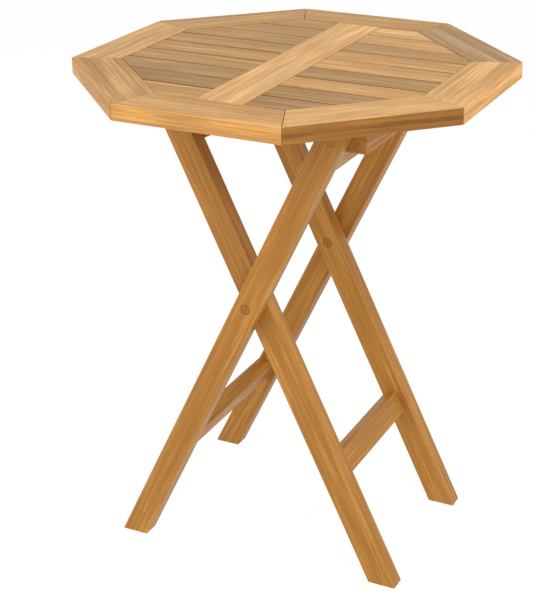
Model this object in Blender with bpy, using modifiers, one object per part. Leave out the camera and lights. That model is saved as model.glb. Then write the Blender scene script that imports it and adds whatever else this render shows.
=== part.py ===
"""Folding garden table with an octagonal slatted top on two crossed leg frames.

Metres, +Z up, origin on the floor under the middle of the top. The frames cross at a pivot
that runs along Y. The outer frame leans to +X, the inner frame leans to -X.
"""
import math

import bmesh
import bpy
from mathutils import Matrix, Vector

# Table top
TABLE_HEIGHT = 0.750
TOP_WIDTH = 0.600
RIM_WIDTH = 0.068
RIM_THICKNESS = 0.024
CENTRE_RAIL_WIDTH = 0.070
SLAT_ROWS = 9
SLAT_GAP = 0.004
SLAT_THICKNESS = 0.020
SLAT_DROP = 0.0005
TONGUE_THICKNESS = 0.008
TONGUE_LENGTH = 0.010
TONGUE_DEPTH = 0.012
TONGUE_INSET = 0.002
RAIL_TENON_WIDTH = 0.040

# Leg frames
PIVOT_HEIGHT = 0.4254
FOOT_REACH = 0.2055
LEG_WIDTH = 0.0385
LEG_THICKNESS = 0.0273
OUTER_FRAME_WIDTH = 0.339
FRAME_GAP = 0.0015
LEG_HEAD = 0.022
LEG_HEAD_ROUND = 0.0096
TENON_LENGTH = 0.015
TENON_INSET = 0.006

# Rails of the frames, as distances from the pivot along the leg and from the leg's middle
OUTER_STRETCHER_DROP = 0.294
OUTER_STRETCHER_OFFSET = -0.005
INNER_STRETCHER_DROP = 0.285
INNER_STRETCHER_OFFSET = -0.006
STRETCHER_THICKNESS = 0.026
STRETCHER_HEIGHT = 0.036
UPPER_RAIL_BELOW_HEAD = 0.022
UPPER_RAIL_HEIGHT = 0.032
UPPER_RAIL_THICKNESS = 0.027
UPPER_RAIL_OFFSET = 0.0155
OUTER_RAIL_BELOW_HINGE = 0.0448

# Beams under the top
BEAM_DEPTH = 0.054
HINGE_BEAM_INSIDE = 0.010
HINGE_BEAM_OUTSIDE = 0.042
CATCH_WALL_THICKNESS = 0.0534
CATCH_STOP_DEPTH = 0.012
CATCH_ROOF_LENGTH = 0.008
SIDE_CLEARANCE = 0.0012
SCREW_EDGE = 0.008
SCREW_BITE = 0.012
SCREW_HEAD_DEPTH = 0.028

# Metalwork and plugs
BOLT_RADIUS = 0.004
BOLT_HEAD_RADIUS = 0.0065
BOLT_HEAD_LENGTH = 0.005
WASHER_RADIUS = 0.010
PLUG_RADIUS = 0.0075
PLUG_LENGTH = 0.006
HINGE_BOLT_BITE = 0.045
SCREW_RADIUS = 0.0022
SCREW_HEAD_RADIUS = 0.0042
SCREW_HEAD_LENGTH = 0.003

# Finish and clearances
EDGE_ROUND = 0.0016
SLAT_EDGE_ROUND = 0.0012
EDGE_STEPS = 2
FIT = 0.0003
SWING_CLEARANCE = 0.0018
OVERSHOOT = 0.004
ROUND_STEPS = 32
SCREW_STEPS = 16
HEAD_ROUND_STEPS = 4
MERGE_DISTANCE = 0.000001
FLAT_ANGLE = math.radians(1)
BEVEL_ANGLE = math.radians(20)
SHADE_ANGLE = math.radians(35)
EMPTY_SIZE = 0.05

# Worked out from the sizes above
SIDES = 8
HALF_SIDE = math.pi / SIDES
INNER_APOTHEM = TOP_WIDTH / 2 - RIM_WIDTH
UNDERSIDE = TABLE_HEIGHT - RIM_THICKNESS
SLAT_TOP = TABLE_HEIGHT - SLAT_DROP
SLAT_UNDERSIDE = SLAT_TOP - SLAT_THICKNESS
SLAT_PITCH = 2 * INNER_APOTHEM / SLAT_ROWS
TONGUE_Z = TABLE_HEIGHT - TONGUE_DEPTH
LEAN = math.atan2(FOOT_REACH, PIVOT_HEIGHT)
OUTER_FACE = OUTER_FRAME_WIDTH / 2
OUTER_INSIDE = OUTER_FACE - LEG_THICKNESS
INNER_FACE = OUTER_INSIDE - FRAME_GAP
INNER_INSIDE = INNER_FACE - LEG_THICKNESS
HEAD_SWING = math.hypot(LEG_HEAD, LEG_WIDTH / 2)
HINGE_Z = UNDERSIDE - HEAD_SWING - SWING_CLEARANCE
HINGE_DISTANCE = (HINGE_Z - PIVOT_HEIGHT) / math.cos(LEAN)
HINGE_X = HINGE_DISTANCE * math.sin(LEAN)
INNER_SWING = UNDERSIDE - PIVOT_HEIGHT - SWING_CLEARANCE
INNER_HEAD = math.sqrt(INNER_SWING ** 2 - (LEG_WIDTH / 2) ** 2)
UPPER_RAIL_TOP = INNER_HEAD - UPPER_RAIL_BELOW_HEAD
UPPER_RAIL_LEVEL = UPPER_RAIL_TOP - UPPER_RAIL_HEIGHT / 2
BEAM_TOP = SLAT_UNDERSIDE - FIT
BEAM_BOTTOM = UNDERSIDE - BEAM_DEPTH
CATCH_HALF_LENGTH = INNER_INSIDE - SIDE_CLEARANCE
MIDDLE_ROW = SLAT_ROWS // 2
SCREW_ROW_REACH = int((CATCH_HALF_LENGTH - SCREW_EDGE) / SLAT_PITCH)
SCREW_ROWS = (MIDDLE_ROW - SCREW_ROW_REACH, MIDDLE_ROW, MIDDLE_ROW + SCREW_ROW_REACH)
PLUG_FLOOR = PLUG_LENGTH + 2 * FIT
HEAD_FLOOR = PLUG_FLOOR + BOLT_HEAD_LENGTH + FIT

PIECES = bpy.data.collections.new("folding_garden_table")
TOOLS = bpy.data.collections.new("cutters")

RIM_TONE = (0.63, 0.39, 0.18)
RAIL_TONE = (0.73, 0.45, 0.23)
SLAT_TONES = ((0.46, 0.29, 0.14), (0.52, 0.32, 0.15), (0.64, 0.38, 0.18), (0.48, 0.30, 0.15),
              (0.69, 0.43, 0.21))
FRAME_TONE = (0.43, 0.20, 0.05)
PLUG_TONE = (0.36, 0.16, 0.04)
STEEL_TONE = (0.62, 0.62, 0.60)
WOOD_ROUGHNESS = 0.5
STEEL_ROUGHNESS = 0.35


def clear_scene():
    for obj in list(bpy.data.objects):
        bpy.data.objects.remove(obj, do_unlink=True)
    for collection in (PIECES, TOOLS):
        bpy.context.scene.collection.children.link(collection)


def finish_material(name, colour, roughness, metallic):
    material = bpy.data.materials.new(name)
    material.use_nodes = True
    shader = material.node_tree.nodes["Principled BSDF"]
    shader.inputs["Base Color"].default_value = (*colour, 1.0)
    shader.inputs["Roughness"].default_value = roughness
    shader.inputs["Metallic"].default_value = metallic
    return material


def add_wood(obj, tone):
    obj.data.materials.clear()
    obj.data.materials.append(finish_material(obj.name, tone, WOOD_ROUGHNESS, 0.0))
    PIECES.objects.link(obj)
    return obj


def add_plug(obj):
    return add_wood(obj, PLUG_TONE)


def add_steel(obj):
    obj.data.materials.clear()
    obj.data.materials.append(finish_material(obj.name, STEEL_TONE, STEEL_ROUGHNESS, 1.0))
    obj.data.shade_smooth()
    obj.data.set_sharp_from_angle(angle=SHADE_ANGLE)
    PIECES.objects.link(obj)
    return obj


def axis_empty(name, place):
    empty = bpy.data.objects.new(name, None)
    empty.empty_display_size = EMPTY_SIZE
    empty.location = place
    PIECES.objects.link(empty)
    return empty


def carry(parent, pieces):
    """Parents pieces to an axis empty and leaves them where they are."""
    bpy.context.view_layer.update()
    for piece in pieces:
        piece.parent = parent
        piece.matrix_parent_inverse = parent.matrix_world.inverted()


def evaluated_mesh(obj):
    """The shape of a curve or of an object with modifiers, after which the object is removed."""
    bpy.context.view_layer.update()
    depsgraph = bpy.context.evaluated_depsgraph_get()
    mesh = bpy.data.meshes.new_from_object(obj.evaluated_get(depsgraph))
    bpy.data.objects.remove(obj, do_unlink=True)
    return mesh


def turned_mesh(name, profile, closed, steps):
    """Turns a profile of (radius, height) round Z. It runs down its outer side."""
    mesh = bpy.data.meshes.new(name)
    bm = bmesh.new()
    corners = [bm.verts.new((radius, 0, height)) for radius, height in profile]
    for first, second in zip(corners, corners[1:]):
        bm.edges.new((first, second))
    if closed:
        bm.edges.new((corners[-1], corners[0]))
    bm.to_mesh(mesh)
    bm.free()
    obj = bpy.data.objects.new(name, mesh)
    TOOLS.objects.link(obj)
    screw = obj.modifiers.new("turn", "SCREW")
    screw.axis = "Z"
    screw.angle = 2 * math.pi
    screw.steps = steps
    screw.render_steps = steps
    screw.use_merge_vertices = True
    screw.merge_threshold = MERGE_DISTANCE
    return evaluated_mesh(obj)


def copies(name, mesh, places, add):
    """One object of the same shape for each place, named by the place."""
    made = []
    for label, place in places.items():
        obj = bpy.data.objects.new(f"{name}_{label}", mesh.copy())
        obj.matrix_world = place
        made.append(add(obj))
    return made


def both_sides(x, z):
    """Places on the near and far side whose local Z points outwards along Y."""
    middle = Matrix.Translation((x, 0, z))
    return {label: middle @ Matrix.Rotation(side * math.pi / 2, 4, "X")
            for label, side in (("near", 1), ("far", -1))}


def board(name, outline, thickness):
    """A flat board from its outline in local XY, centred on its thickness."""
    curve = bpy.data.curves.new(name, "CURVE")
    curve.dimensions = "2D"
    curve.fill_mode = "BOTH"
    curve.extrude = thickness / 2
    spline = curve.splines.new("POLY")
    spline.points.add(len(outline) - 1)
    for point, (x, y) in zip(spline.points, outline):
        point.co = (x, y, 0, 1)
    spline.use_cyclic_u = True
    flat = bpy.data.objects.new(name, curve)
    TOOLS.objects.link(flat)
    mesh = evaluated_mesh(flat)
    bm = bmesh.new()
    bm.from_mesh(mesh)
    bmesh.ops.remove_doubles(bm, verts=bm.verts, dist=MERGE_DISTANCE)
    bmesh.ops.dissolve_limit(bm, angle_limit=FLAT_ANGLE, verts=bm.verts, edges=bm.edges)
    bmesh.ops.recalc_face_normals(bm, faces=bm.faces)
    bm.to_mesh(mesh)
    bm.free()
    return bpy.data.objects.new(name, mesh)


def upright_board(name, outline, thickness, y):
    """A board whose outline lies in XZ and whose thickness runs along Y."""
    obj = board(name, outline, thickness)
    obj.rotation_euler = (math.pi / 2, 0, 0)
    obj.location = (0, y, 0)
    return obj


def box(name, size):
    mesh = bpy.data.meshes.new(name)
    bm = bmesh.new()
    bmesh.ops.create_cube(bm, size=1.0, matrix=Matrix.Diagonal((*size, 1.0)))
    bm.to_mesh(mesh)
    bm.free()
    return bpy.data.objects.new(name, mesh)


def round_edges(obj, width):
    bevel = obj.modifiers.new("rounded edges", "BEVEL")
    bevel.width = width
    bevel.segments = EDGE_STEPS
    bevel.limit_method = "ANGLE"
    bevel.angle_limit = BEVEL_ANGLE


def as_tool(obj):
    obj.hide_render = True
    obj.display_type = "WIRE"
    TOOLS.objects.link(obj)
    return obj


def combine(obj, tool, operation):
    boolean = obj.modifiers.new(tool.name, "BOOLEAN")
    boolean.operation = operation
    boolean.solver = "EXACT"
    boolean.object = tool


def rods(name, radius, spans):
    """Plain round rods, each from one point to another."""
    bm = bmesh.new()
    for start, end in spans:
        start, end = Vector(start), Vector(end)
        turn = Vector((0, 0, 1)).rotation_difference(end - start).to_matrix().to_4x4()
        place = Matrix.Translation((start + end) / 2) @ turn
        bmesh.ops.create_cone(bm, cap_ends=True, segments=ROUND_STEPS, radius1=radius,
                              radius2=radius, depth=(end - start).length, matrix=place)
    mesh = bpy.data.meshes.new(name)
    bm.to_mesh(mesh)
    bm.free()
    return bpy.data.objects.new(name, mesh)


def octagon(apothem):
    corner = apothem / math.cos(HALF_SIDE)
    turns = [(2 * k + 1) * HALF_SIDE for k in range(SIDES)]
    return [(corner * math.cos(turn), corner * math.sin(turn)) for turn in turns]


def clipped(outline, apothem):
    """The part of an outline that lies inside an octagon."""
    for k in range(SIDES):
        nx, ny = math.cos(2 * k * HALF_SIDE), math.sin(2 * k * HALF_SIDE)
        kept = []
        for (x0, y0), (x1, y1) in zip(outline, outline[1:] + outline[:1]):
            first, second = apothem - x0 * nx - y0 * ny, apothem - x1 * nx - y1 * ny
            if first >= 0:
                kept.append((x0, y0))
            if first * second < 0:
                share = first / (first - second)
                kept.append((x0 + share * (x1 - x0), y0 + share * (y1 - y0)))
        outline = kept
    return outline


def rectangle(x0, x1, y0, y1):
    return [(x0, y0), (x1, y0), (x1, y1), (x0, y1)]


def slat_y(row):
    return -INNER_APOTHEM + (row + 0.5) * SLAT_PITCH


def rim_outline():
    mitre = FIT / 2 / math.cos(HALF_SIDE)
    outer, inner = TOP_WIDTH / 2, INNER_APOTHEM
    outer_half = outer * math.tan(HALF_SIDE) - mitre
    inner_half = inner * math.tan(HALF_SIDE) - mitre
    return [(-outer_half, -outer), (outer_half, -outer), (inner_half, -inner), (-inner_half, -inner)]


def make_rim():
    outline = octagon(INNER_APOTHEM + TONGUE_LENGTH + FIT)
    groove = board("groove_cutter", outline, TONGUE_THICKNESS + 2 * FIT)
    groove.location.z = TONGUE_Z
    as_tool(groove)
    boards = []
    for k in range(SIDES):
        rim = board(f"rim_board_{k + 1}", rim_outline(), RIM_THICKNESS)
        rim.rotation_euler.z = 2 * k * HALF_SIDE
        rim.location.z = TABLE_HEIGHT - RIM_THICKNESS / 2
        round_edges(rim, EDGE_ROUND)
        combine(rim, groove, "DIFFERENCE")
        boards.append(add_wood(rim, RIM_TONE))
    return boards


def make_centre_rail():
    half = CENTRE_RAIL_WIDTH / 2
    end = INNER_APOTHEM - FIT
    rail = board("centre_rail", rectangle(-half, half, -end, end), RIM_THICKNESS)
    rail.location.z = TABLE_HEIGHT - RIM_THICKNESS / 2
    round_edges(rail, EDGE_ROUND)
    for side in (-1, 1):
        floor = side * (half - TONGUE_LENGTH - FIT)
        mouth = side * (half + OVERSHOOT)
        reach = INNER_APOTHEM + OVERSHOOT
        outline = rectangle(min(floor, mouth), max(floor, mouth), -reach, reach)
        groove = board(f"rail_groove_cutter_{side}", outline, TONGUE_THICKNESS + 2 * FIT)
        groove.location.z = TONGUE_Z
        combine(rail, as_tool(groove), "DIFFERENCE")
    tenon = box("rail_tenon", (RAIL_TENON_WIDTH, 2 * (INNER_APOTHEM + TONGUE_LENGTH), TONGUE_THICKNESS))
    tenon.location.z = TONGUE_Z
    combine(rail, as_tool(tenon), "UNION")
    return add_wood(rail, RAIL_TONE)


def make_slat(side, row, pilots):
    """A slat with its ends cut to the octagon and a tongue at each end."""
    name = f"slat_{'left' if side < 0 else 'right'}_{row + 1}"
    half_rail = CENTRE_RAIL_WIDTH / 2
    half = (SLAT_PITCH - SLAT_GAP) / 2
    y = slat_y(row)
    end = INNER_APOTHEM - FIT
    body = clipped(rectangle(half_rail + FIT, end, y - half, y + half), end)
    key_half = half - TONGUE_INSET
    key_end = INNER_APOTHEM + TONGUE_LENGTH
    tongue = clipped(rectangle(half_rail - TONGUE_LENGTH, key_end, y - key_half, y + key_half), key_end)
    slat = board(name, [(side * a, b) for a, b in body], SLAT_THICKNESS)
    slat.location.z = SLAT_TOP - SLAT_THICKNESS / 2
    round_edges(slat, SLAT_EDGE_ROUND)
    key = board(f"{name}_tongue", [(side * a, b) for a, b in tongue], TONGUE_THICKNESS)
    key.location.z = TONGUE_Z
    combine(slat, as_tool(key), "UNION")
    if row in SCREW_ROWS:
        combine(slat, pilots, "DIFFERENCE")
    tone = SLAT_TONES[(row + (side > 0) * 2) % len(SLAT_TONES)]
    return add_wood(slat, tone)


def screw_spots():
    """Under the outermost slats that the catch beam reaches, and under the middle one."""
    middle_hinge = HINGE_X + (HINGE_BEAM_OUTSIDE - HINGE_BEAM_INSIDE) / 2
    middle_catch = catch_wall_x() - CATCH_WALL_THICKNESS / 2
    return [(x, slat_y(row)) for x in (middle_catch, middle_hinge) for row in SCREW_ROWS]


def make_screws():
    top = SLAT_UNDERSIDE + SCREW_BITE
    head = BEAM_BOTTOM + SCREW_HEAD_DEPTH
    profile = [(0, top), (SCREW_RADIUS, top), (SCREW_RADIUS, head + SCREW_HEAD_LENGTH),
               (SCREW_HEAD_RADIUS, head + SCREW_HEAD_LENGTH), (SCREW_HEAD_RADIUS, head), (0, head)]
    mesh = turned_mesh("beam_screw", profile, False, SCREW_STEPS)
    places = {str(k + 1): Matrix.Translation((x, y, 0)) for k, (x, y) in enumerate(screw_spots())}
    return copies("beam_screw", mesh, places, add_steel)


def screw_cutters():
    """The holes round the beam screws: narrow ones for the shanks, wide ones below for the heads."""
    top = SLAT_UNDERSIDE + SCREW_BITE + FIT
    head = BEAM_BOTTOM + SCREW_HEAD_DEPTH + SCREW_HEAD_LENGTH + FIT
    low = BEAM_BOTTOM - CATCH_STOP_DEPTH - OVERSHOOT
    shanks = [((x, y, head - OVERSHOOT), (x, y, top)) for x, y in screw_spots()]
    heads = [((x, y, low), (x, y, head)) for x, y in screw_spots()]
    narrow = as_tool(rods("screw_shank_cutter", SCREW_RADIUS + FIT, shanks))
    wide = as_tool(rods("screw_head_cutter", SCREW_HEAD_RADIUS + FIT, heads))
    return narrow, wide


def along_leg(side, distance, offset):
    """A point on a leg: distance up from the pivot, offset to +X. side is 1 for the outer frame."""
    x = side * distance * math.sin(LEAN) + offset * math.cos(LEAN)
    z = PIVOT_HEIGHT + distance * math.cos(LEAN) - side * offset * math.sin(LEAN)
    return x, z


def catch_wall_x():
    corner_x, _ = along_leg(-1, UPPER_RAIL_TOP, UPPER_RAIL_OFFSET - UPPER_RAIL_THICKNESS / 2)
    return corner_x - FIT


def leg_outline(side, head):
    """A leg from its level foot to its rounded head."""
    half = LEG_WIDTH / 2
    foot = []
    for offset in (-half, half):
        distance = -(PIVOT_HEIGHT - side * offset * math.sin(LEAN)) / math.cos(LEAN)
        foot.append(along_leg(side, distance, offset))
    radius = LEG_HEAD_ROUND
    crown = []
    for centre, start in ((half - radius, 0), (-half + radius, math.pi / 2)):
        for step in range(HEAD_ROUND_STEPS + 1):
            turn = start + step * math.pi / 2 / HEAD_ROUND_STEPS
            distance = head - radius + radius * math.sin(turn)
            crown.append(along_leg(side, distance, centre + radius * math.cos(turn)))
    return foot + crown


def leg_section(name, side, distance, offset, thickness, height, length):
    """A bar along Y whose section is square to a leg."""
    bar = box(name, (thickness, length, height))
    x, z = along_leg(side, distance, offset)
    bar.rotation_euler.y = side * LEAN
    bar.location = (x, 0, z)
    return bar


def make_cross_rail(name, side, distance, offset, thickness, height, inside):
    """A rail between the legs of a frame, with its tenons, and the cutter for their mortises."""
    rail = leg_section(name, side, distance, offset, thickness, height, 2 * (inside - FIT))
    round_edges(rail, EDGE_ROUND)
    span = 2 * (inside + TENON_LENGTH)
    half = LEG_WIDTH / 2 - TENON_INSET
    low = max(offset - thickness / 2 + TENON_INSET, -half)
    high = min(offset + thickness / 2 - TENON_INSET, half)
    tall = height - 2 * TENON_INSET
    tenon = leg_section(f"{name}_tenon", side, distance, (low + high) / 2, high - low, tall, span)
    combine(rail, as_tool(tenon), "UNION")
    mortise = leg_section(f"{name}_mortise", side, distance, (low + high) / 2,
                          high - low + 2 * FIT, tall + 2 * FIT, span + 2 * FIT)
    return add_wood(rail, FRAME_TONE), as_tool(mortise)


def counterbore_spans(x, z, face, inward):
    """A head pocket that starts outside a face and ends at the floor under the bolt head."""
    spans = []
    for side in (-1, 1):
        outside = side * (face - inward * OVERSHOOT)
        floor = side * (face + inward * HEAD_FLOOR)
        spans.append(((x, outside, z), (x, floor, z)))
    return spans


def make_leg_pair(label, side, head, face, mortises, tools):
    legs = []
    for end, y in (("near", -face + LEG_THICKNESS / 2), ("far", face - LEG_THICKNESS / 2)):
        leg = upright_board(f"{label}_leg_{end}", leg_outline(side, head), LEG_THICKNESS, y)
        round_edges(leg, EDGE_ROUND)
        for tool in mortises + tools:
            combine(leg, tool, "DIFFERENCE")
        legs.append(add_wood(leg, FRAME_TONE))
    return legs


def make_plugs(name, x, z, face, inward):
    """A pair of round wooden plugs, flush with the faces they close."""
    first, second = face + inward * FIT, face + inward * (PLUG_LENGTH + FIT)
    high, low = max(first, second), min(first, second)
    profile = [(0, high), (PLUG_RADIUS, high), (PLUG_RADIUS, low), (0, low)]
    return copies(name, turned_mesh(name, profile, False, ROUND_STEPS), both_sides(x, z), add_plug)


def ring_profile(inner, outer, high, low):
    return [(inner, high), (outer, high), (outer, low), (inner, low)]


def make_pivot_metal():
    """Bolt, nut and washer at each crossing. The head is in the outer leg, the nut in the inner one."""
    head_end = OUTER_FACE - PLUG_FLOOR
    head_face = head_end - BOLT_HEAD_LENGTH
    nut_end = INNER_INSIDE + PLUG_FLOOR
    nut_face = nut_end + BOLT_HEAD_LENGTH
    bolt = [(0, head_end), (BOLT_HEAD_RADIUS, head_end), (BOLT_HEAD_RADIUS, head_face),
            (BOLT_RADIUS, head_face), (BOLT_RADIUS, nut_end), (0, nut_end)]
    inner = BOLT_RADIUS + FIT
    nut = ring_profile(inner, BOLT_HEAD_RADIUS, nut_face, nut_end)
    washer = ring_profile(inner, WASHER_RADIUS, OUTER_INSIDE - FIT, INNER_FACE + FIT)
    metal = []
    for name, profile, closed in (("pivot_bolt", bolt, False), ("pivot_nut", nut, True),
                                  ("pivot_washer", washer, True)):
        mesh = turned_mesh(name, profile, closed, ROUND_STEPS)
        metal += copies(name, mesh, both_sides(0, PIVOT_HEIGHT), add_steel)
    return metal


def make_hinge_metal(beam_end):
    """Coach bolts that carry the top: through the outer legs and into the ends of the hinge beam."""
    head_end = OUTER_FACE - PLUG_FLOOR
    head_face = head_end - BOLT_HEAD_LENGTH
    tip = beam_end - HINGE_BOLT_BITE
    bolt = [(0, head_end), (BOLT_HEAD_RADIUS, head_end), (BOLT_HEAD_RADIUS, head_face),
            (BOLT_RADIUS, head_face), (BOLT_RADIUS, tip), (0, tip)]
    washer = ring_profile(BOLT_RADIUS + FIT, WASHER_RADIUS, OUTER_INSIDE - FIT, beam_end + FIT)
    places = both_sides(HINGE_X, HINGE_Z)
    bolt_mesh = turned_mesh("hinge_bolt", bolt, False, ROUND_STEPS)
    washer_mesh = turned_mesh("hinge_washer", washer, True, ROUND_STEPS)
    bolts = copies("hinge_bolt", bolt_mesh, places, add_steel)
    return bolts, copies("hinge_washer", washer_mesh, places, add_steel)


def make_hinge_beam(end, tools):
    low_x, high_x = HINGE_X - HINGE_BEAM_INSIDE, HINGE_X + HINGE_BEAM_OUTSIDE
    outline = rectangle(low_x, high_x, BEAM_BOTTOM, BEAM_TOP)
    beam = upright_board("hinge_beam", outline, 2 * end, 0)
    round_edges(beam, EDGE_ROUND)
    for tool in tools:
        combine(beam, tool, "DIFFERENCE")
    return add_wood(beam, FRAME_TONE)


def make_catch_beam(tools):
    """The beam beyond the inner frame's upper rail, which stops the legs spreading."""
    wall = catch_wall_x()
    outline = rectangle(wall - CATCH_WALL_THICKNESS, wall, BEAM_BOTTOM - CATCH_STOP_DEPTH, BEAM_TOP)
    beam = upright_board("catch_beam", outline, 2 * CATCH_HALF_LENGTH, 0)
    round_edges(beam, EDGE_ROUND)
    for tool in tools:
        combine(beam, tool, "DIFFERENCE")
    return add_wood(beam, FRAME_TONE)


def make_catch_pad():
    """The pad glued beside the catch beam. Its sloping underside rests on the upper rail."""
    low_x = catch_wall_x() + FIT
    roof = UPPER_RAIL_TOP + FIT
    middle_x, at_middle = along_leg(-1, roof, 0)
    rail_right, _ = along_leg(-1, roof, UPPER_RAIL_OFFSET + UPPER_RAIL_THICKNESS / 2)
    high_x = rail_right + CATCH_ROOF_LENGTH
    low_z, high_z = [at_middle + (x - middle_x) * math.tan(LEAN) for x in (low_x, high_x)]
    outline = [(low_x, low_z), (high_x, high_z), (high_x, BEAM_TOP), (low_x, BEAM_TOP)]
    pad = upright_board("catch_pad", outline, 2 * CATCH_HALF_LENGTH, 0)
    round_edges(pad, EDGE_ROUND)
    return add_wood(pad, FRAME_TONE)


def bolt_hole_spans(x, z, inner_end, outer_end):
    return [((x, side * inner_end, z), (x, side * outer_end, z)) for side in (-1, 1)]


def bolt_hole_cutters(beam_end):
    """Through the legs for the pivot bolts, and on into the hinge beam for its bolts."""
    hole = BOLT_RADIUS + FIT
    reach = OUTER_FACE + OVERSHOOT
    pivot_spans = bolt_hole_spans(0, PIVOT_HEIGHT, INNER_INSIDE - OVERSHOOT, reach)
    bolt_tip = beam_end - HINGE_BOLT_BITE - FIT
    hinge_spans = bolt_hole_spans(HINGE_X, HINGE_Z, bolt_tip, reach)
    return as_tool(rods("pivot_hole", hole, pivot_spans)), as_tool(rods("hinge_hole", hole, hinge_spans))


def pocket_cutters():
    """Round pockets for the bolt heads, the pivot nuts and the plugs over them."""
    places = (("pivot_head_pocket", 0, PIVOT_HEIGHT, OUTER_FACE, -1),
              ("pivot_nut_pocket", 0, PIVOT_HEIGHT, INNER_INSIDE, 1),
              ("hinge_head_pocket", HINGE_X, HINGE_Z, OUTER_FACE, -1))
    return [as_tool(rods(name, PLUG_RADIUS + FIT, counterbore_spans(x, z, face, inward)))
            for name, x, z, face, inward in places]


def make_frames():
    """Both leg frames with their rails, and the holes for the bolts that join them."""
    outer_low, outer_mortise = make_cross_rail(
        "outer_stretcher", 1, -OUTER_STRETCHER_DROP, OUTER_STRETCHER_OFFSET,
        STRETCHER_THICKNESS, STRETCHER_HEIGHT, OUTER_INSIDE)
    outer_high, outer_high_mortise = make_cross_rail(
        "outer_upper_rail", 1, HINGE_DISTANCE - OUTER_RAIL_BELOW_HINGE, 0,
        UPPER_RAIL_THICKNESS, UPPER_RAIL_HEIGHT, OUTER_INSIDE)
    inner_low, inner_mortise = make_cross_rail(
        "inner_stretcher", -1, -INNER_STRETCHER_DROP, INNER_STRETCHER_OFFSET,
        STRETCHER_THICKNESS, STRETCHER_HEIGHT, INNER_INSIDE)
    upper, upper_mortise = make_cross_rail(
        "inner_upper_rail", -1, UPPER_RAIL_LEVEL, UPPER_RAIL_OFFSET,
        UPPER_RAIL_THICKNESS, UPPER_RAIL_HEIGHT, INNER_INSIDE)
    beam_end = OUTER_INSIDE - FRAME_GAP
    pivot_hole, hinge_hole = bolt_hole_cutters(beam_end)
    head_pocket, nut_pocket, hinge_pocket = pocket_cutters()
    outer_tools = [pivot_hole, head_pocket, hinge_hole, hinge_pocket]
    outer_head = HINGE_DISTANCE + LEG_HEAD
    outer_legs = make_leg_pair("outer", 1, outer_head, OUTER_FACE,
                               [outer_mortise, outer_high_mortise], outer_tools)
    inner_legs = make_leg_pair("inner", -1, INNER_HEAD, INNER_FACE, [inner_mortise, upper_mortise],
                               [pivot_hole, nut_pocket])
    outer_plugs = make_plugs("outer_pivot_plug", 0, PIVOT_HEIGHT, OUTER_FACE, -1)
    hinge_plugs = make_plugs("hinge_plug", HINGE_X, HINGE_Z, OUTER_FACE, -1)
    inner_plugs = make_plugs("inner_pivot_plug", 0, PIVOT_HEIGHT, INNER_INSIDE, 1)
    outer = outer_legs + [outer_low, outer_high] + outer_plugs + hinge_plugs + make_pivot_metal()
    inner = inner_legs + [inner_low, upper] + inner_plugs
    return outer, inner, hinge_hole, beam_end


def make_top(hinge_hole, beam_end):
    narrow, wide = screw_cutters()
    pieces = make_rim() + [make_centre_rail()]
    for side in (-1, 1):
        pieces += [make_slat(side, row, narrow) for row in range(SLAT_ROWS)]
    pieces.append(make_hinge_beam(beam_end, [hinge_hole, narrow, wide]))
    pieces += [make_catch_beam([narrow, wide]), make_catch_pad()]
    return pieces + make_screws()


def main():
    clear_scene()
    outer, inner, hinge_hole, beam_end = make_frames()
    bolts, washers = make_hinge_metal(beam_end)
    top = make_top(hinge_hole, beam_end)
    carry(axis_empty("pivot_axis", (0, 0, PIVOT_HEIGHT)), inner)
    carry(axis_empty("hinge_axis", (HINGE_X, 0, HINGE_Z)), top + bolts)
    carry(axis_empty("floor_origin", (0, 0, 0)), outer + washers)


main()
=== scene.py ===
import math
import random

import bpy
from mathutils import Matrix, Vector


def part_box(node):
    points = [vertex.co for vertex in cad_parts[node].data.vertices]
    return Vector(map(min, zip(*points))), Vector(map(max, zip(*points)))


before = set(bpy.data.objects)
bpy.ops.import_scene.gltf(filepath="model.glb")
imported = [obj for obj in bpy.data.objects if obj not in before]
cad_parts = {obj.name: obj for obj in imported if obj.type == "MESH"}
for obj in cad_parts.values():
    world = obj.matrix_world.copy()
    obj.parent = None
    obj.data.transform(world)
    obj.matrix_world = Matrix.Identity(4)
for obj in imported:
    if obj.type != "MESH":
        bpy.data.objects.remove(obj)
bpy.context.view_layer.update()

# Sizes that the boards' own coordinates rest on, in metres and radians
LEAN = math.radians(25.784)
PIVOT_HEIGHT = 0.4254
TOP_HALF = 0.300
RIM_WIDTH = 0.068
RIM_MIDDLE_Z = 0.738
RIM_HALF = (RIM_WIDTH / 2, 0.012)
RIM_OUT = TOP_HALF - RIM_WIDTH / 2
MITRE_SLOPE = math.tan(math.pi / 8)
LEG_HALF = (0.01365, 0.01925)
STRETCHER_HALF = (0.013, 0.018)
UPPER_RAIL_HALF = (0.0135, 0.016)
PLUG_RADIUS = 0.0075
ACROSS = math.pi / 2
NO_TURN = (0, 0, 0)

# Wood tones from the palest board to the darkest
CREAM = (0.93, 0.54, 0.21)
PALE = (0.83, 0.48, 0.18)
GOLDEN = (0.74, 0.41, 0.14)
HONEY = (0.66, 0.37, 0.122)
TAN = (0.60, 0.345, 0.12)
GREYED = (0.54, 0.34, 0.15)
BROWN = (0.53, 0.305, 0.105)
DARK = (0.465, 0.26, 0.092)

# Tones of the boards in the order of their numbers, and of the other parts
HEARTWOOD_BOARD = "rim_board_2"
RIM_TONES = (GOLDEN, PALE, PALE, GREYED, HONEY, HONEY, PALE, HONEY)
LEFT_SLATS = (HONEY, DARK, BROWN, TAN, HONEY, TAN, TAN, TAN, TAN)
RIGHT_SLATS = (DARK, BROWN, GOLDEN, BROWN, GOLDEN, GOLDEN, TAN, PALE, CREAM)
LEG_TONE = (0.535, 0.247, 0.046)
PLUG_TONE = (0.42, 0.185, 0.034)
STEEL_TONE = (0.60, 0.60, 0.58)
DULL_SHARE = (0.85, 0.85, 0.85)
BRIGHT_SHARE = (1.1, 1.1, 1.1)

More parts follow.
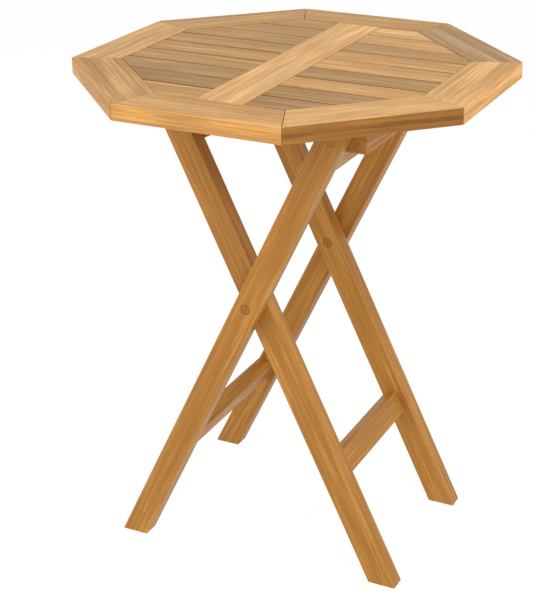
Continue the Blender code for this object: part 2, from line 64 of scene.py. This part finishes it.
# Grain and marks, with painted shade and painted edge highlights among them: colours as shares of the tone
LIGHT_SHARE = (1.08, 1.09, 1.11)
DEEP_SHARE = (0.68, 0.61, 0.50)
WEATHERED_SHARE = (0.80, 0.81, 0.85)
STREAK_SHARE = (0.50, 0.41, 0.30)
# Edges paler from wear and from a painted highlight
WORN_AND_HIGHLIGHT_SHARE = (1.16, 1.20, 1.26)
# Dark glue lines and plug rings, and the painted shade in the joints between boards
DARK_LINE_AND_SHADE_SHARE = (0.30, 0.24, 0.18)
# Painted shade that makes the rim boards' outer sides warmer and darker than their tops
SIDE_SHADE_SHARE = (1.0, 0.92, 0.78)
# One board's outer side: dark heartwood together with painted shade, in place of the painted side shade of
# the other rim boards
HEARTWOOD_AND_SHADE_SHARE = (0.43, 0.33, 0.14)

# Grain: sizes in metres, among them the width of the painted joint shade and of the paler edges with their
# painted highlight, the growth rings and the ranges of what is drawn by chance
EDGE_BAND_WIDTH = 0.0022
JOINT_SHADE_WIDTH = 0.0011
GLUE_LINE = 0.0005
VEIN_HALF = 0.0022
GRAIN_STRETCH = 0.06
RING_SCALE = 58
RING_SCALE_CHANCE = (0.8, 1.3)
PITH_ASIDE = (-0.05, 0.05)
PITH_DEPTH = (0.05, 0.11)
LOG_SHIFT = (0, 5)
GRAIN_SHIFT = (0, 9)
RING_SHAPE = {"Distortion": 6.0, "Detail": 3.0, "Detail Scale": 1.1, "Detail Roughness": 0.6}

# Grain noises: waves per metre along and across the board, detail and roughness
BAND_NOISE = ((3.2, 48, 48), 4.0, 0.6)
MOTTLE_NOISE = ((9, 30, 30), 3.0, 0.55)
FIBRE_NOISE = ((7, 270, 270), 3.0, 0.6)
PORE_NOISE = ((30, 1300, 1300), 1.0)
STREAK_NOISE = ((3.0, 120, 90), 3.0, 0.6)
WANDER_NOISE = ((11, 1, 1), 3.0)
BRUSH_NOISE = ((900, 120, 900), 3.0, 0.6)

# Steps: the two levels between which a layer comes in, then what it is worth below and above them, which
# is 0 and 1 where nothing is given. The board's own values complete the ring, streak and gloss steps.
RING_STEP = (0.35, 0.65, 0.1)
BAND_STEP = (0.44, 0.6, 0.0, 0.68)
MOTTLE_STEP = (0.42, 0.7, 0.0, 0.7)
FIBRE_STEP = (0.42, 0.55, 0.72, 0.0)
PORE_STEP = (0.62, 0.72)
STREAK_STEP = (0.53, 0.68, 0.0)
END_GRAIN_STEP = (0.8, 0.95, 0.0, 0.3)
# Breaks in the paler edges, worn and with a painted highlight
WEAR_AND_HIGHLIGHT_BREAKS = (0.35, 0.6)
# Breaks in the painted joint shade
JOINT_SHADE_BREAKS = (0.35, 0.6, 0.3, 1.0)
# Which outward-facing sides get the painted side shade
OUTER_SIDE_SHADE_STEP = (0.3, 0.9)
WANDER_STEP = (0.2, 0.8, -VEIN_HALF, VEIN_HALF)
GLOSS_STEP = (0.3, 0.7)
STEEL_GLOSS_STEP = (0.3, 0.7, 0.26, 0.46)

# How strongly marks show, the painted joint shade and the painted edge highlight among them, from 0 to 1,
# and where a plug's ring starts as a share of its radius
JOINT_SHADE_DEPTH = 0.7
GLUE_DEPTH = 0.25
VEIN_DEPTH = 0.75
PLUG_RING_DEPTH = 0.65
PLUG_RING_START = 0.8
PORE_DEPTH = 0.35
WEAR_AND_HIGHLIGHT_DEPTH = 0.5

# Surface: sheen, polish and relief
WOOD_SHEEN = 0.24
DEEP_ROUGHER = 0.09
HIGH_SMOOTHER = 0.05
WORN_SMOOTHER = 0.06
FIBRE_RELIEF = 0.7
RING_RELIEF = 0.2
PORE_RELIEF = 0.5
WOOD_BUMP = {"Strength": 0.35, "Distance": 0.0004}
STEEL_BUMP = {"Strength": 0.2, "Distance": 0.0001}

# The camera stands where the photograph was taken from
CAMERA_PLACE = (0.8927, -1.8584, 1.2951)
CAMERA_TURN = (67.534, 0.113, 25.251)
CAMERA_LENS = 88.504
SENSOR_WIDTH = 36.0
CAMERA_SHIFT = (-0.0646, -0.0703)

# Studio light: place, aim, size in metres and watts of each lamp, then the sky and the floor
KEY_LAMP = ((1.9, -1.7, 2.8), (0, 0, 0.5), 2.2, 63)
FILL_LAMP = ((-1.6, -2.8, 1.4), (0, 0, 0.4), 2.6, 22)
RIGHT_LAMP = ((3.0, -0.6, 0.9), (0, 0, 0.5), 1.8, 14)
LEFT_LAMP = ((-3.0, -1.2, 1.1), (0, 0, 0.6), 1.8, 22)
SKY_LIGHT = 0.5
WHITE = (1, 1, 1, 1)
FLOOR_SIZE = 60
FLOOR_TONE = (0.86, 0.86, 0.86, 1)
FLOOR_GLOW = 1.07
FLOOR_GLOW_SHARE = 0.86

GRAIN_SEED = 7
random.seed(GRAIN_SEED)


def node(tree, kind, inputs, **settings):
    """A node with its settings and its inputs, each a value or a link."""
    made = tree.nodes.new(kind)
    for name, value in settings.items():
        setattr(made, name, value)
    for key, value in inputs.items():
        if isinstance(value, bpy.types.NodeSocket):
            tree.links.new(value, made.inputs[key])
        else:
            made.inputs[key].default_value = value
    return made


# Sockets whose names repeat within a node are given by number. In a mix of colours 0, 6 and 7 are the
# factor and the two colours, and 2 is the result. In a range 1 to 4 are the two levels and their values.


def maths(tree, operation, first, second=0.0):
    """The result of one sum on one or two values."""
    return node(tree, "ShaderNodeMath", {0: first, 1: second}, operation=operation).outputs[0]


def ranged(tree, value, low, high, at_low=0.0, at_high=1.0):
    """A smooth step of a value from one level to another."""
    inputs = {"Value": value, 1: low, 2: high, 3: at_low, 4: at_high}
    return node(tree, "ShaderNodeMapRange", inputs, interpolation_type="SMOOTHSTEP").outputs[0]


def mixed(tree, factor, first, second):
    """The first colour where the factor is 0, and the second where it is 1."""
    return node(tree, "ShaderNodeMix", {0: factor, 6: first, 7: second}, data_type="RGBA").outputs[2]


def shaded(tree, factor, body, share):
    """A colour multiplied by a share where a mask asks for it."""
    inputs = {0: factor, 6: body, 7: (*share, 1.0)}
    return node(tree, "ShaderNodeMix", inputs, data_type="RGBA", blend_type="MULTIPLY").outputs[2]


def colour(tone, share=(1, 1, 1)):
    """A tone, or a share of it, as the four numbers that a node takes."""
    return (*(a * b for a, b in zip(tone, share)), 1.0)


def scaled(tree, vector, scale, place=(0, 0, 0)):
    """A vector stretched along its axes and then moved."""
    inputs = {"Vector": vector, "Scale": scale, "Location": place}
    return node(tree, "ShaderNodeMapping", inputs).outputs[0]


def noise(tree, vector, waves, detail=2.0, roughness=0.5):
    """A noise with its own number of waves per metre along each axis."""
    inputs = {"Vector": scaled(tree, vector, waves), "Scale": 1.0, "Detail": detail, "Roughness": roughness}
    return node(tree, "ShaderNodeTexNoise", inputs).outputs["Fac"]


def turned(tree, vector, turn, place=(0, 0, 0)):
    """A vector in a board's own frame, whole and as its three parts."""
    inputs = {"Vector": vector, "Location": place, "Rotation": turn}
    local = node(tree, "ShaderNodeMapping", inputs, vector_type="TEXTURE").outputs[0]
    parts = node(tree, "ShaderNodeSeparateXYZ", {0: local}).outputs
    return local, [parts[k] for k in range(3)]


def from_edge(tree, half, part):
    """How far inside a board's edge a point lies."""
    return maths(tree, "SUBTRACT", half, maths(tree, "ABSOLUTE", part))


def worn_and_highlit_edges(tree, parts, half, breaks):
    """1 on the long edges of a board, which wear and a painted highlight make paler, fading inwards and
    broken up by a noise.
    """
    depth = maths(tree, "MAXIMUM", from_edge(tree, half[0], parts[1]), from_edge(tree, half[1], parts[2]))
    edge = ranged(tree, depth, 0.0, EDGE_BAND_WIDTH, 1.0, 0.0)
    return maths(tree, "MULTIPLY", edge, ranged(tree, breaks, *WEAR_AND_HIGHLIGHT_BREAKS))


# Each function that adds marks takes the same things, though none needs them all: the point's place in
# the board, the way it faces, the board's half width and half depth, a noise and the colour so far


def joint_shade(tree, parts, facing, half, breaks, body):
    """Painted shade: a dark broken line along both long edges, where the eased edge falls into the joint.
    """
    line = ranged(tree, from_edge(tree, half[0], parts[1]), 0.0, JOINT_SHADE_WIDTH, JOINT_SHADE_DEPTH, 0.0)
    broken = maths(tree, "MULTIPLY", line, ranged(tree, breaks, *JOINT_SHADE_BREAKS))
    return shaded(tree, broken, body, DARK_LINE_AND_SHADE_SHARE)


def rim_marks(tree, parts, facing, half, breaks, body, side_shade_share=SIDE_SHADE_SHARE):
    """Glue lines at the two mitres, painted shade as a dark line along the inner edge, and painted shade
    that makes the outer side warmer and darker.
    """
    from_middle = maths(tree, "SUBTRACT", RIM_OUT, parts[1])
    reach = maths(tree, "MULTIPLY", from_middle, MITRE_SLOPE)
    inside = maths(tree, "SUBTRACT", reach, maths(tree, "ABSOLUTE", parts[0]))
    glue = ranged(tree, inside, 0.0, 2 * GLUE_LINE, GLUE_DEPTH, 0.0)
    # Painted shade along the inner edge, where the slats meet the rim
    inner = ranged(tree, maths(tree, "SUBTRACT", half[0], parts[1]), 0.0, JOINT_SHADE_WIDTH, JOINT_SHADE_DEPTH, 0.0)
    body = shaded(tree, maths(tree, "MAXIMUM", glue, inner), body, DARK_LINE_AND_SHADE_SHARE)
    # Painted shade on the side that faces outwards
    side_shade = ranged(tree, maths(tree, "MULTIPLY", facing[1], -1.0), *OUTER_SIDE_SHADE_STEP)
    return shaded(tree, side_shade, body, side_shade_share)


def heartwood_rim_marks(tree, parts, facing, half, breaks, body):
    """The rim's marks on a board whose outer side is darker, from dark heartwood and from painted shade
    together, with a darker vein.
    """
    body = rim_marks(tree, parts, facing, half, breaks, body, HEARTWOOD_AND_SHADE_SHARE)
    along = node(tree, "ShaderNodeCombineXYZ", {0: parts[0]}).outputs[0]
    wander = ranged(tree, noise(tree, along, *WANDER_NOISE), *WANDER_STEP)
    offset = maths(tree, "ADD", parts[2], wander)
    vein = ranged(tree, maths(tree, "ABSOLUTE", offset), 0.0, 2 * VEIN_HALF, VEIN_DEPTH, 0.0)
    outside = ranged(tree, maths(tree, "ADD", half[0], parts[1]), 0.0, 2 * EDGE_BAND_WIDTH, 1.0, 0.0)
    return shaded(tree, maths(tree, "MULTIPLY", vein, outside), body, STREAK_SHARE)


def plug_ring(tree, parts, facing, half, breaks, body):
    """A dark ring round a plug."""
    flat = node(tree, "ShaderNodeCombineXYZ", {0: parts[0], 2: parts[2]}).outputs[0]
    radius = node(tree, "ShaderNodeVectorMath", {0: flat}, operation="LENGTH").outputs["Value"]
    ring = ranged(tree, radius, PLUG_RING_START * PLUG_RADIUS, PLUG_RADIUS, 0.0, PLUG_RING_DEPTH)
    return shaded(tree, ring, body, DARK_LINE_AND_SHADE_SHARE)


def growth_rings(tree, local, pith):
    """Rings round a pith beside the board, drawn out along the grain."""
    log = scaled(tree, local, (GRAIN_STRETCH, 1, 1), (random.uniform(*LOG_SHIFT), *pith))
    inputs = {"Vector": log, "Scale": RING_SCALE * random.uniform(*RING_SCALE_CHANCE), **RING_SHAPE}
    wave = node(tree, "ShaderNodeTexWave", inputs, wave_type="RINGS", rings_direction="X")
    return wave.outputs["Fac"]


def wood(name, place, turn, half, tone, marks=None, figure=0.5, streaks=0.3, roughness=0.5, pith=None):
    """Solid wood: rings, bands, weathered patches, fibres, pores, streaks, end grain, and edges made paler
    by wear and by a painted highlight.

    place and turn give the board's own frame, with x along its grain, and half is half its size along
    y and z. figure and streaks, from 0 to 1, say how strongly its rings and its dark streaks show.
    """
    material = bpy.data.materials.new(name)
    material.use_nodes = True
    tree = material.node_tree
    shader = tree.nodes["Principled BSDF"]
    shader.inputs["Specular IOR Level"].default_value = WOOD_SHEEN
    place_and_normal = node(tree, "ShaderNodeTexCoord", {}).outputs
    local, parts = turned(tree, place_and_normal["Object"], turn, place)
    facing = turned(tree, place_and_normal["Normal"], turn)[1]
    pith = pith or (random.uniform(*PITH_ASIDE), random.choice((-1, 1)) * random.uniform(*PITH_DEPTH))
    rings = growth_rings(tree, local, pith)
    own = scaled(tree, local, (1, 1, 1), [random.uniform(*GRAIN_SHIFT) for _ in range(3)])
    bands = noise(tree, own, *BAND_NOISE)
    mottle = noise(tree, own, *MOTTLE_NOISE)
    fibres = noise(tree, own, *FIBRE_NOISE)
    pores = ranged(tree, noise(tree, own, *PORE_NOISE), *PORE_STEP)
    streak = noise(tree, own, *STREAK_NOISE)

    deep = colour(tone, DEEP_SHARE)
    streak_tone = colour(tone, STREAK_SHARE)
    ring_share = maths(tree, "MULTIPLY", rings, ranged(tree, mottle, *RING_STEP, figure))
    body = mixed(tree, ring_share, colour(tone, LIGHT_SHARE), deep)
    body = mixed(tree, ranged(tree, bands, *BAND_STEP), body, deep)
    body = mixed(tree, ranged(tree, mottle, *MOTTLE_STEP), body, colour(tone, WEATHERED_SHARE))
    body = mixed(tree, ranged(tree, fibres, *FIBRE_STEP), body, deep)
    body = mixed(tree, maths(tree, "MULTIPLY", pores, PORE_DEPTH), body, streak_tone)
    body = mixed(tree, ranged(tree, streak, *STREAK_STEP, streaks), body, streak_tone)
    end_grain = ranged(tree, maths(tree, "ABSOLUTE", facing[0]), *END_GRAIN_STEP)
    body = mixed(tree, end_grain, body, deep)
    worn_and_highlit = worn_and_highlit_edges(tree, parts, half, bands)
    # The edges grow paler, from wear and from a painted highlight
    body = mixed(tree, maths(tree, "MULTIPLY", worn_and_highlit, WEAR_AND_HIGHLIGHT_DEPTH), body, colour(tone, WORN_AND_HIGHLIGHT_SHARE))
    if marks:
        body = marks(tree, parts, facing, half, bands, body)
    tree.links.new(body, shader.inputs["Base Color"])

    gloss = ranged(tree, fibres, *GLOSS_STEP, roughness + DEEP_ROUGHER, roughness - HIGH_SMOOTHER)
    polished = maths(tree, "SUBTRACT", gloss, maths(tree, "MULTIPLY", worn_and_highlit, WORN_SMOOTHER))
    tree.links.new(polished, shader.inputs["Roughness"])
    fibre_height = maths(tree, "MULTIPLY", fibres, FIBRE_RELIEF)
    height = maths(tree, "ADD", fibre_height, maths(tree, "MULTIPLY", rings, RING_RELIEF))
    height = maths(tree, "SUBTRACT", height, maths(tree, "MULTIPLY", pores, PORE_RELIEF))
    bump = node(tree, "ShaderNodeBump", {**WOOD_BUMP, "Height": height})
    tree.links.new(bump.outputs[0], shader.inputs["Normal"])
    return material


def steel(name):
    """Brushed steel with a fine grain and a slightly uneven polish."""
    material = bpy.data.materials.new(name)
    material.use_nodes = True
    tree = material.node_tree
    shader = tree.nodes["Principled BSDF"]
    shader.inputs["Metallic"].default_value = 1.0
    own = node(tree, "ShaderNodeTexCoord", {}).outputs["Object"]
    brushed = noise(tree, own, *BRUSH_NOISE)
    tone = mixed(tree, brushed, colour(STEEL_TONE, DULL_SHARE), colour(STEEL_TONE, BRIGHT_SHARE))
    tree.links.new(tone, shader.inputs["Base Color"])
    tree.links.new(ranged(tree, brushed, *STEEL_GLOSS_STEP), shader.inputs["Roughness"])
    bump = node(tree, "ShaderNodeBump", {**STEEL_BUMP, "Height": brushed})
    tree.links.new(bump.outputs[0], shader.inputs["Normal"])
    return material


def dress(name, material):
    """Give a piece one material in place of its own."""
    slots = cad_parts[name].data.materials
    slots.clear()
    slots.append(material)


def middle_and_half(name):
    """The middle of a piece's box and half its size along each axis."""
    low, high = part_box(name)
    return (low + high) / 2, (high - low) / 2


def lean_side(name):
    """-1 for a piece of the inner frame, which leans the other way, and 1 for the rest."""
    return -1 if name.startswith("inner") else 1


def lean_turn(name):
    """The turn of a leg or of a plug in it: the grain runs up the leaning leg."""
    return (0, lean_side(name) * LEAN - ACROSS, 0)


def dress_rim():
    for k, tone in enumerate(RIM_TONES):
        name = f"rim_board_{k + 1}"
        turn = k * math.pi / 4
        place = (RIM_OUT * math.sin(turn), -RIM_OUT * math.cos(turn), RIM_MIDDLE_Z)
        marks = heartwood_rim_marks if name == HEARTWOOD_BOARD else rim_marks
        dress(name, wood(name, place, (0, 0, turn), RIM_HALF, tone, marks, figure=0.5, streaks=0.35))


def dress_slats():
    for side, tones in (("left", LEFT_SLATS), ("right", RIGHT_SLATS)):
        for row, tone in enumerate(tones):
            name = f"slat_{side}_{row + 1}"
            place, half = middle_and_half(name)
            dress(name, wood(name, place, NO_TURN, (half.y, half.z), tone, joint_shade,
                             figure=0.55, streaks=0.5))


def dress_centre_rail():
    name = "centre_rail"
    place, half = middle_and_half(name)
    dress(name, wood(name, place, (0, 0, ACROSS), (half.x, half.z), CREAM, joint_shade,
                     figure=0.35, streaks=0.15))


def dress_legs():
    for frame_name in ("outer", "inner"):
        for end in ("near", "far"):
            name = f"{frame_name}_leg_{end}"
            middle, _ = middle_and_half(name)
            place = Vector((0, middle.y, PIVOT_HEIGHT))
            dress(name, wood(name, place, lean_turn(name), LEG_HALF, LEG_TONE,
                             figure=0.4, streaks=0.25, roughness=0.44))


def dress_rails():
    for name, half in (("outer_stretcher", STRETCHER_HALF), ("inner_stretcher", STRETCHER_HALF),
                       ("outer_upper_rail", UPPER_RAIL_HALF), ("inner_upper_rail", UPPER_RAIL_HALF)):
        place, _ = middle_and_half(name)
        turn = (lean_side(name) * LEAN, 0, ACROSS)
        dress(name, wood(name, place, turn, half, LEG_TONE, figure=0.4, streaks=0.25, roughness=0.44))


def dress_beams():
    """The beams under the top, each with its pith at a chosen place in metres from its middle."""
    for name, pith in (("hinge_beam", (0.16, 0.01)), ("catch_beam", (0.02, -0.12)),
                       ("catch_pad", (0.01, 0.09))):
        place, half = middle_and_half(name)
        dress(name, wood(name, place, (0, 0, ACROSS), (half.x, half.z), LEG_TONE,
                         figure=0.9, streaks=0.25, roughness=0.46, pith=pith))


def dress_plugs():
    """The plugs at the pivots stand out from the legs, and the hinge plugs hardly show."""
    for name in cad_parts:
        if "plug" in name:
            place, _ = middle_and_half(name)
            tone, marks = (LEG_TONE, None) if name.startswith("hinge") else (PLUG_TONE, plug_ring)
            dress(name, wood(name, place, lean_turn(name), LEG_HALF, tone, marks,
                             figure=0.4, streaks=0.2, roughness=0.46))


def dress_steel():
    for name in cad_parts:
        if any(word in name for word in ("bolt", "nut", "washer", "screw")):
            dress(name, steel(name))


def seen_directly(tree):
    """1 for rays from the camera, from reflections and through glass."""
    path = node(tree, "ShaderNodeLightPath", {}).outputs
    seen = maths(tree, "MAXIMUM", path["Is Camera Ray"], path["Is Glossy Ray"])
    return maths(tree, "MAXIMUM", seen, path["Is Transmission Ray"])


def make_floor():
    """A wide white floor that shows a faint shadow."""
    bpy.ops.mesh.primitive_plane_add(size=FLOOR_SIZE)
    floor = bpy.context.object
    floor.name = "floor"
    material = bpy.data.materials.new("floor")
    material.use_nodes = True
    tree = material.node_tree
    tree.nodes.clear()
    lit = node(tree, "ShaderNodeBsdfDiffuse", {"Color": FLOOR_TONE}).outputs[0]
    bright = node(tree, "ShaderNodeEmission", {"Color": WHITE, "Strength": FLOOR_GLOW}).outputs[0]
    share = maths(tree, "MULTIPLY", seen_directly(tree), FLOOR_GLOW_SHARE)
    both = node(tree, "ShaderNodeMixShader", {0: share, 1: lit, 2: bright}).outputs[0]
    node(tree, "ShaderNodeOutputMaterial", {"Surface": both})
    floor.data.materials.append(material)


def make_world():
    """Even sky light, and a white backdrop where it is seen or reflected."""
    world = bpy.data.worlds.new("studio")
    bpy.context.scene.world = world
    world.use_nodes = True
    tree = world.node_tree
    tree.nodes.clear()
    light = node(tree, "ShaderNodeBackground", {"Color": WHITE, "Strength": SKY_LIGHT}).outputs[0]
    white = node(tree, "ShaderNodeBackground", {"Color": WHITE, "Strength": 1.0}).outputs[0]
    both = node(tree, "ShaderNodeMixShader", {0: seen_directly(tree), 1: light, 2: white}).outputs[0]
    node(tree, "ShaderNodeOutputWorld", {"Surface": both})


def make_lamp(name, place, aim, size, watts):
    """A square lamp at a place, turned towards a point."""
    lamp = bpy.data.lights.new(name, "AREA")
    lamp.shape = "SQUARE"
    lamp.size = size
    lamp.energy = watts
    obj = bpy.data.objects.new(name, lamp)
    obj.location = place
    obj.rotation_euler = (Vector(aim) - Vector(place)).to_track_quat("-Z", "Y").to_euler()
    bpy.context.scene.collection.objects.link(obj)


def make_camera():
    data = bpy.data.cameras.new("camera")
    data.sensor_width = SENSOR_WIDTH
    data.lens = CAMERA_LENS
    data.shift_x, data.shift_y = CAMERA_SHIFT
    camera = bpy.data.objects.new("camera", data)
    camera.location = CAMERA_PLACE
    camera.rotation_euler = [math.radians(angle) for angle in CAMERA_TURN]
    bpy.context.scene.collection.objects.link(camera)
    bpy.context.scene.camera = camera


dress_rim()
dress_slats()
dress_centre_rail()
dress_legs()
dress_rails()
dress_beams()
dress_plugs()
dress_steel()
make_floor()
make_world()
make_lamp("key", *KEY_LAMP)
make_lamp("fill", *FILL_LAMP)
make_lamp("right", *RIGHT_LAMP)
make_lamp("left", *LEFT_LAMP)
make_camera()
bpy.context.scene.view_settings.view_transform = "Standard"
